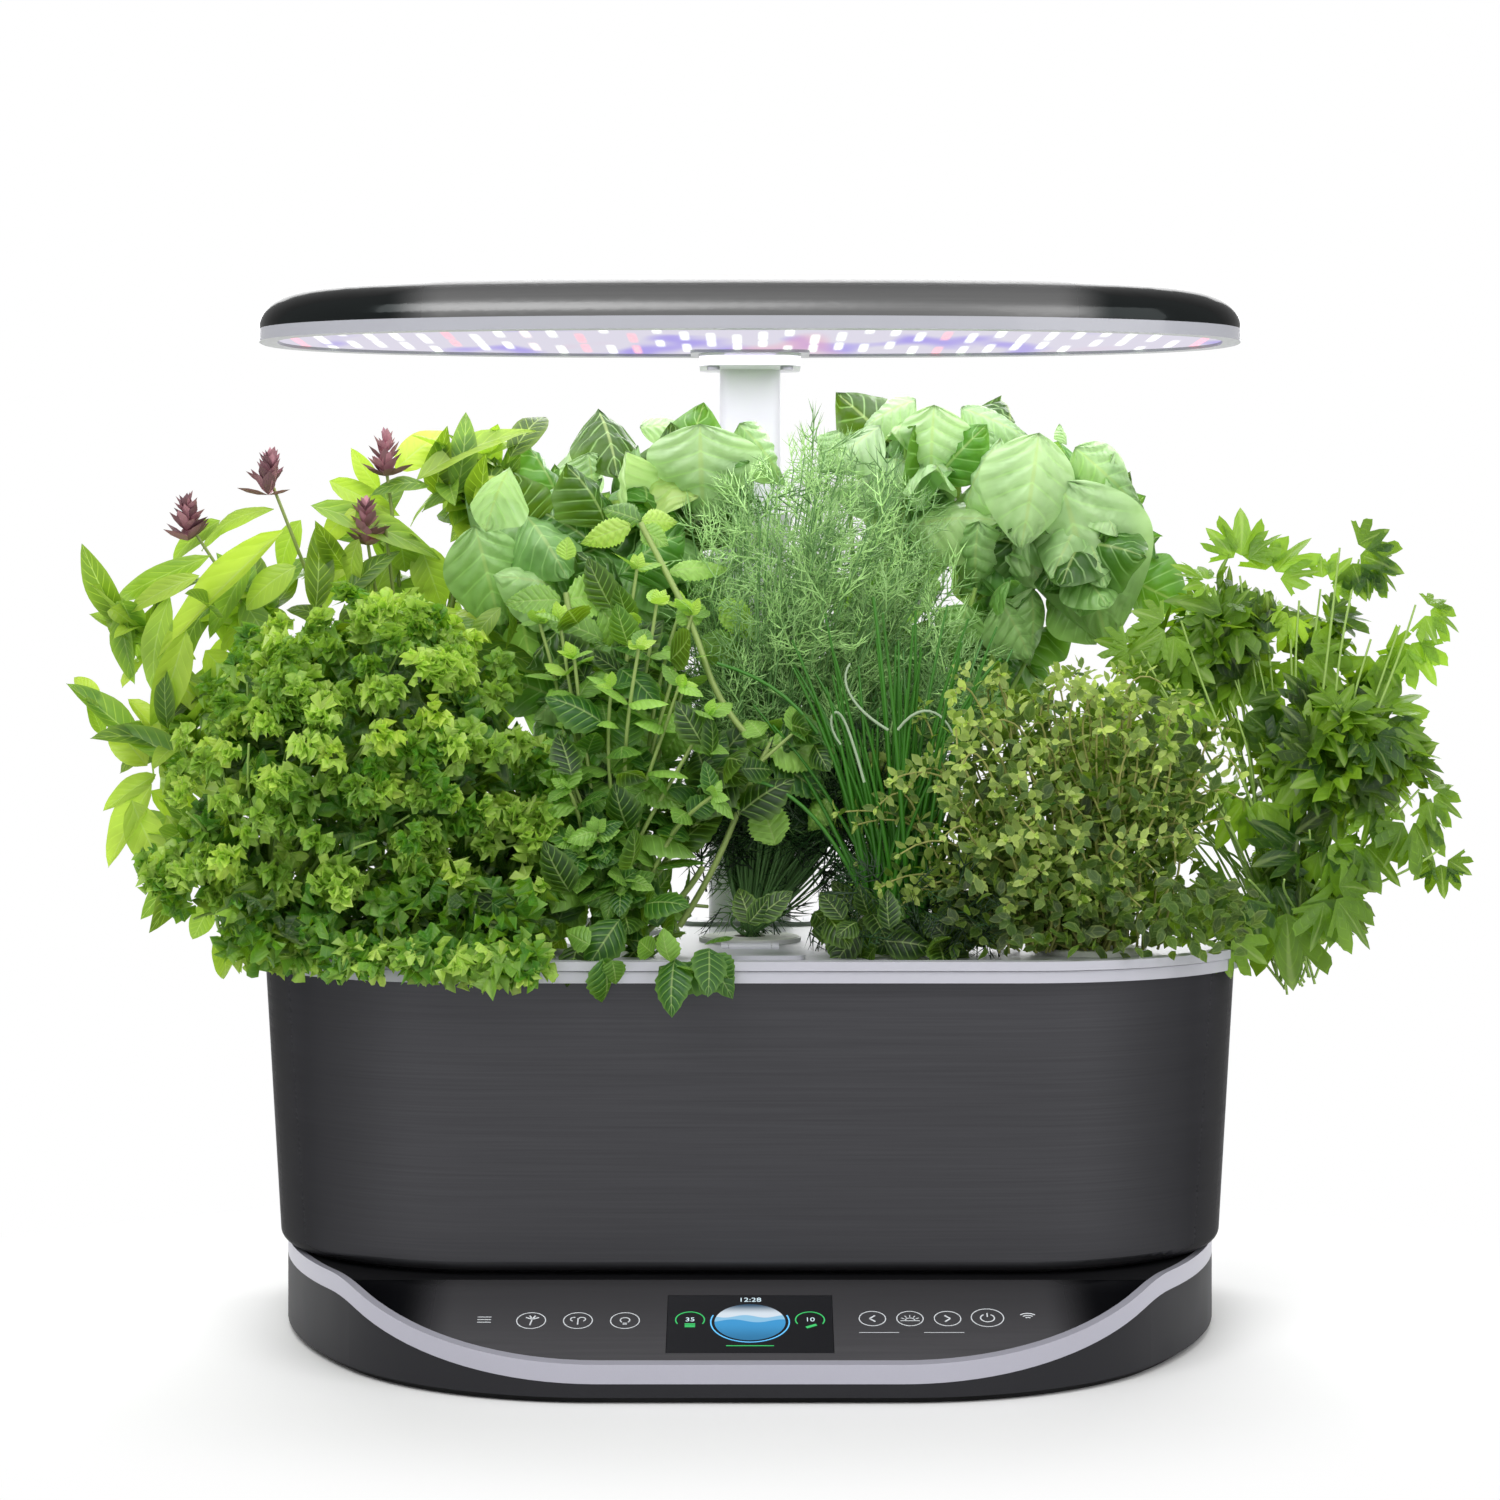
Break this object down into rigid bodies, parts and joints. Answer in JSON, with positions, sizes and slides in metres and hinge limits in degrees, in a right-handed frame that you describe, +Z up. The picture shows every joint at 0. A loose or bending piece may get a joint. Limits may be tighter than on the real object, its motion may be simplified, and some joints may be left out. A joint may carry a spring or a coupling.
{
  "type": "countertop hydroponic garden",
  "caption": "Oval countertop water garden: sloped touch-panel base, brushed bowl with planted pod deck and fill lid, telescopic arm and wide oval grow lamp.",
  "frame": {"origin": "on the table, under the middle of the bowl", "axes": "+Z up, +Y from the control panel to the back, +X to the right seen from the front"},
  "size_m": [0.608, 0.288, 0.458],
  "materials": {
    "dark_metal": "dark brushed metal film, horizontal grain",
    "dark_shell": "dark satin plastic",
    "hood_dark": "dark glossy plastic",
    "silver_trim": "pale silver paint",
    "panel_black": "black glossy touch panel",
    "black_plastic": "matte black plastic",
    "white_plastic": "white satin plastic",
    "grey_plastic": "pale grey plastic",
    "lens": "clear diffuser",
    "display": "display glass",
    "rubber": "black rubber",
    "circuit_green": "circuit board",
    "circuit_white": "white coated light board",
    "aluminium": "plain aluminium",
    "steel": "bright steel",
    "brass": "gilt contacts",
    "led_white": "light chip",
    "led_red": "light chip",
    "led_blue": "light chip",
    "basket": "pale plastic",
    "peat": "peat sponge",
    "foam": "open foam",
    "label": "paper",
    "leaf_basil": "broad smooth leaf",
    "leaf_thai": "long pointed leaf",
    "leaf_parsley": "curled leaf",
    "leaf_mint": "serrated leaf",
    "leaf_dill": "feathery leaf",
    "leaf_chive": "round hollow leaf",
    "leaf_thyme": "tiny oval leaf"
  },
  "bodies": {
    "base": {"foot_ring": "rubber", "base_pan": "black_plastic", "base_shell": "dark_shell", "base_trim": "silver_trim", "control_panel": "panel_black", "base_platform": "dark_shell", "display_module": "display", "touch_board": "circuit_green", "main_board": "circuit_green", "board_parts": "black_plastic", "base_screws": "steel", "power_inlet": "black_plastic", "arm_outer": "white_plastic", "arm_socket": "black_plastic", "lower_collar": "white_plastic", "dock_block": "black_plastic", "dock_pins": "brass"},
    "arm_stage": {"arm_middle": "white_plastic", "upper_collar": "white_plastic"},
    "lamp": {"arm_inner": "white_plastic", "hood_cover": "hood_dark", "hood_trim": "white_plastic", "lamp_lens": "lens", "led_board": "circuit_white", "heat_sink": "aluminium", "leds_white": "led_white", "leds_red": "led_red", "leds_blue": "led_blue", "lamp_bracket": "white_plastic", "lamp_screws": "steel"},
    "bowl": {"bowl": "grey_plastic", "bowl_wrap": "dark_metal", "bowl_contact": "black_plastic", "pump_body": "black_plastic", "pump_cover": "black_plastic", "impeller_shaft": "steel", "pump_filter": "foam", "riser_tube": "basket", "level_stem": "grey_plastic"},
    "impeller": {"pump_impeller": "grey_plastic"},
    "float": {"level_float": "white_plastic"},
    "deck": {"grow_deck": "grey_plastic", "lid_pin": "steel", "grow_baskets": "basket", "grow_sponges": "peat", "pod_labels": "label", "curly_parsley": "leaf_parsley", "mint": "leaf_mint", "chives": "leaf_chive", "thyme": "leaf_thyme", "dill": "leaf_dill", "thai_basil": "leaf_thai", "left_basil": "leaf_basil", "right_basil": "leaf_basil", "flat_parsley": "leaf_parsley"},
    "lid": {"fill_lid": "grey_plastic"}
  },
  "joints": [
    {"name": "arm_lower_slide", "type": "slide", "parent": "base", "child": "arm_stage", "axis": [0, 0, 1], "range_m": [0, 0.202]},
    {"name": "arm_upper_slide", "type": "slide", "parent": "arm_stage", "child": "lamp", "axis": [0, 0, 1], "range_m": [0, 0.202]},
    {"name": "bowl_slide", "type": "slide", "parent": "base", "child": "bowl", "axis": [0, -1, 0], "range_m": [0, 0.25]},
    {"name": "deck_lift", "type": "slide", "parent": "bowl", "child": "deck", "axis": [0, 0, 1], "range_m": [0, 0.01]},
    {"name": "lid_hinge", "type": "hinge", "parent": "deck", "child": "lid", "pos_m": [0, -0.0487, 0.16905], "axis": [-1, 0, 0], "range_deg": [0, 100]},
    {"name": "impeller_spin", "type": "hinge", "parent": "bowl", "child": "impeller", "pos_m": [0.105, 0.042, 0.05], "axis": [0, 0, 1], "continuous": true},
    {"name": "float_rise", "type": "slide", "parent": "bowl", "child": "float", "axis": [0, 0, 1], "range_m": [0, 0.04]}
  ]
}
